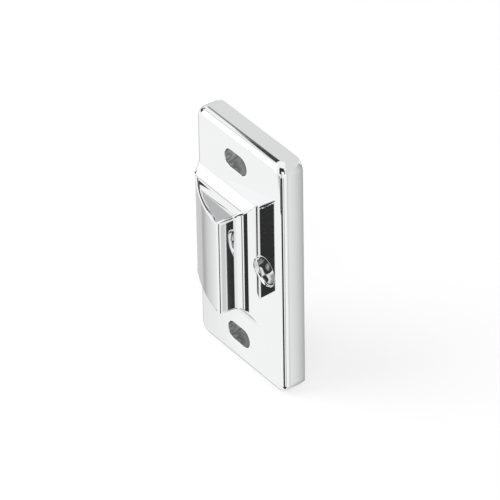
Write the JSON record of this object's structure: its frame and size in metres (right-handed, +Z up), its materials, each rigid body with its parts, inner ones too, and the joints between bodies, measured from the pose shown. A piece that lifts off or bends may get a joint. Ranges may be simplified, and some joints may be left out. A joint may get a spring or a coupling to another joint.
{
  "type": "latch strike plate",
  "caption": "Bright plated latch strike: a round-cornered plate with a raised curved ramp, an upright catch face behind its crest, slotted screw holes and a round hole for a locking screw.",
  "frame": {"origin": "centre of the plate's back face", "axes": "+Z up along the plate's length, +Y out of the back face, so the ramp and the front face look along -Y; +X towards the catch side, away from the ramp's toe"},
  "size_m": [0.0344, 0.0144, 0.0636],
  "materials": {
    "chrome_plate": "bright plated"
  },
  "bodies": {
    "root": {"strike_plate": "chrome_plate"}
  },
  "joints": []
}
